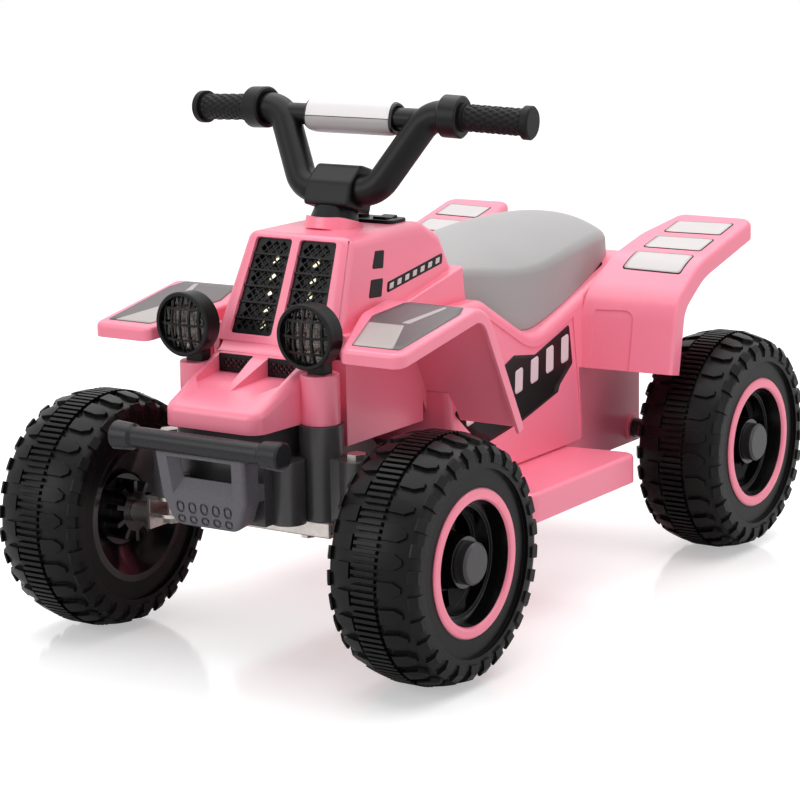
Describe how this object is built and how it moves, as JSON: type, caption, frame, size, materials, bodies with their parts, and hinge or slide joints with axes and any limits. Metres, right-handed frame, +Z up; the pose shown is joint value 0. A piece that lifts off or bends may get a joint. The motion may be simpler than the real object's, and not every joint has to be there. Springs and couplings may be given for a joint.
{
  "type": "kids quad bike",
  "caption": "Battery ride-on quad bike for a small child: moulded shell on plastic off-road wheels, with steered front axle, handlebar, saddle, footboards and caged headlamps.",
  "frame": {"origin": "on the ground, midway between the two axles on the centre plane", "axes": "+Y towards the rear, -Y is the driving direction, +X towards the rider's left, +Z up"},
  "size_m": [0.415, 0.684, 0.4441],
  "materials": {
    "pink_shell": "gloss moulded plastic",
    "black_plastic": "satin black plastic",
    "gloss_black": "gloss black plastic",
    "dark_grey_plastic": "satin dark grey plastic",
    "seat_grey": "satin grey moulded plastic",
    "tyre_plastic": "matte black blow-moulded tyre",
    "grip_rubber": "ribbed black rubber",
    "steel": "zinc-plated steel",
    "reflector": "bright metallised",
    "clear_lens": "clear",
    "led_light": "pale diffuser on a circuit board",
    "silver_pad": "silver plastic",
    "battery_case": "sealed battery case"
  },
  "bodies": {
    "chassis": {"front_housing": "dark_grey_plastic", "axle_beam": "steel", "beam_bolts": "steel", "kingpin_bolts": "steel", "front_cowl": "pink_shell", "radiator_grilles": "black_plastic", "led_strips": "led_light", "nose_cowl": "pink_shell", "scoop_grilles": "black_plastic", "headlight_housings": "black_plastic", "headlight_reflectors": "reflector", "headlight_bulbs": "led_light", "headlight_lenses": "clear_lens", "headlight_guards": "black_plastic", "front_bumper": "dark_grey_plastic", "body_shell": "pink_shell", "seat": "seat_grey", "lower_chassis": "pink_shell", "rear_axle": "steel", "axle_spacer": "steel", "gearbox": "black_plastic", "motor": "steel", "battery": "battery_case", "control_box": "black_plastic", "dash_panel": "black_plastic", "charge_socket": "black_plastic", "rear_axle_nuts": "steel"},
    "steering": {"steering_column": "steel", "column_sleeve": "black_plastic", "handlebar_clamp": "black_plastic", "handlebar": "black_plastic", "left_grip": "grip_rubber", "right_grip": "grip_rubber", "grip_collars": "black_plastic", "crossbar_pad": "silver_pad"},
    "left_steering_knuckle": {"left_knuckle": "steel", "left_stub_nut": "steel"},
    "right_steering_knuckle": {"right_knuckle": "steel", "right_stub_nut": "steel"},
    "steering_link": {"tie_rod": "steel"},
    "front_left_wheel": {"front_left_tyre": "tyre_plastic", "front_left_rim": "gloss_black", "front_left_trim_ring": "pink_shell", "front_left_hub_cap": "dark_grey_plastic"},
    "front_right_wheel": {"front_right_tyre": "tyre_plastic", "front_right_rim": "gloss_black", "front_right_trim_ring": "pink_shell", "front_right_hub_cap": "dark_grey_plastic"},
    "rear_left_wheel": {"rear_left_tyre": "tyre_plastic", "rear_left_rim": "gloss_black", "rear_left_trim_ring": "pink_shell", "rear_left_hub_cap": "dark_grey_plastic"},
    "rear_right_wheel": {"rear_right_tyre": "tyre_plastic", "rear_right_rim": "gloss_black", "rear_right_trim_ring": "pink_shell", "rear_right_hub_cap": "dark_grey_plastic", "drive_coupler": "black_plastic"},
    "accelerator_pedal": {"pedal": "black_plastic"},
    "direction_rocker": {"rocker_switch": "black_plastic"},
    "start_button": {"power_button": "black_plastic"}
  },
  "joints": [
    {"name": "steer", "type": "hinge", "parent": "chassis", "child": "steering", "pos_m": [0, -0.13, 0.345], "axis": [0, 0.309, 0.9511], "range_deg": [-20, 20]},
    {"name": "left_kingpin", "type": "hinge", "parent": "chassis", "child": "left_steering_knuckle", "pos_m": [0.094, -0.242, 0.1], "axis": [0, 0, 1], "range_deg": [-21, 21]},
    {"name": "right_kingpin", "type": "hinge", "parent": "chassis", "child": "right_steering_knuckle", "pos_m": [-0.094, -0.242, 0.1], "axis": [0, 0, 1], "range_deg": [-21, 21]},
    {"name": "tie_rod_link", "type": "hinge", "parent": "left_steering_knuckle", "child": "steering_link", "pos_m": [0.094, -0.19648, 0.101], "axis": [0, 0, 1], "range_deg": [-21, 21]},
    {"name": "front_left_spin", "type": "hinge", "parent": "left_steering_knuckle", "child": "front_left_wheel", "pos_m": [0.166, -0.242, 0.1], "axis": [1, 0, 0], "continuous": true},
    {"name": "rear_left_spin", "type": "hinge", "parent": "chassis", "child": "rear_left_wheel", "pos_m": [0.166, 0.242, 0.1], "axis": [1, 0, 0], "continuous": true},
    {"name": "front_right_spin", "type": "hinge", "parent": "right_steering_knuckle", "child": "front_right_wheel", "pos_m": [-0.166, -0.242, 0.1], "axis": [1, 0, 0], "continuous": true},
    {"name": "rear_right_spin", "type": "hinge", "parent": "chassis", "child": "rear_right_wheel", "pos_m": [-0.166, 0.242, 0.1], "axis": [1, 0, 0], "continuous": true},
    {"name": "pedal_press", "type": "hinge", "parent": "chassis", "child": "accelerator_pedal", "pos_m": [-0.128, 0, 0.1195], "axis": [1, 0, 0], "range_deg": [0, 6], "stiffness_Nm_per_rad": 0.6, "springref_deg": -2.86},
    {"name": "rocker_tilt", "type": "hinge", "parent": "chassis", "child": "direction_rocker", "pos_m": [0.023, -0.0915, 0.335], "axis": [1, 0, 0], "range_deg": [-7, 7]},
    {"name": "button_press", "type": "slide", "parent": "chassis", "child": "start_button", "axis": [0, 0, -1], "range_m": [0, 0.0015], "stiffness_N_per_m": 400, "springref_m": -0.0005}
  ],
  "couplings": [
    {"joint": "left_kingpin", "follows": "steer", "ratio": 1},
    {"joint": "right_kingpin", "follows": "steer", "ratio": 1},
    {"joint": "tie_rod_link", "follows": "steer", "ratio": -1}
  ]
}
